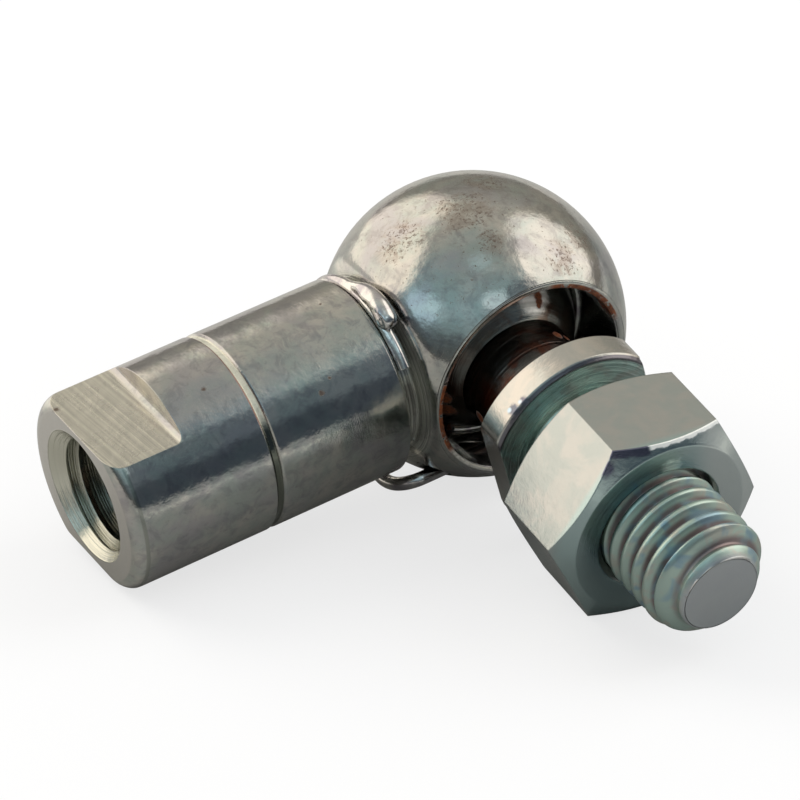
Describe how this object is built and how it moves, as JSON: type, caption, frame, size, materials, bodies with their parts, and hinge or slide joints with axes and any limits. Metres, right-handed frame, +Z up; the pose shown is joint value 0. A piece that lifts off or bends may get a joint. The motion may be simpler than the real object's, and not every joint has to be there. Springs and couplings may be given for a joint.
{
  "type": "angle ball joint",
  "caption": "Angle ball joint: a threaded round shank ends in a cup that holds a ball stud across it, with a hexagon nut on the stud's thread.",
  "frame": {"origin": "centre of the ball, which the stud swings about", "axes": "+Z up as the joint lies on a table; the shank points along -X and drops about 8 degrees; the stud points along -Y and drops about 8 degrees"},
  "size_m": [0.0476, 0.0476, 0.0241],
  "materials": {
    "ball_socket": "turned steel, thin blue-white zinc with rust freckles",
    "snap_ring": "drawn spring wire",
    "safety_clip": "bright drawn spring wire",
    "ball_stud": "turned steel, iridescent blue zinc",
    "hex_nut": "zinc plated steel"
  },
  "bodies": {
    "socket": {"ball_socket": "ball_socket", "safety_clip": "safety_clip"},
    "ring": {"snap_ring": "snap_ring"},
    "stud": {"ball_stud": "ball_stud"},
    "nut": {"hex_nut": "hex_nut"}
  },
  "joints": [
    {"name": "stud_turn", "type": "hinge", "parent": "socket", "child": "ring", "pos_m": [0, 0, 0], "axis": [0.0152, -0.9942, -0.1061], "continuous": true},
    {"name": "stud_swing", "type": "hinge", "parent": "ring", "child": "stud", "pos_m": [0, 0, 0], "axis": [0.8677, 0.0658, -0.4927], "range_deg": [-21.42, 14.58]},
    {"name": "nut_turn", "type": "hinge", "parent": "stud", "child": "nut", "pos_m": [-0.00033, -0.02261, -0.00361], "axis": [-0.0145, -0.9874, -0.1574], "continuous": true}
  ]
}
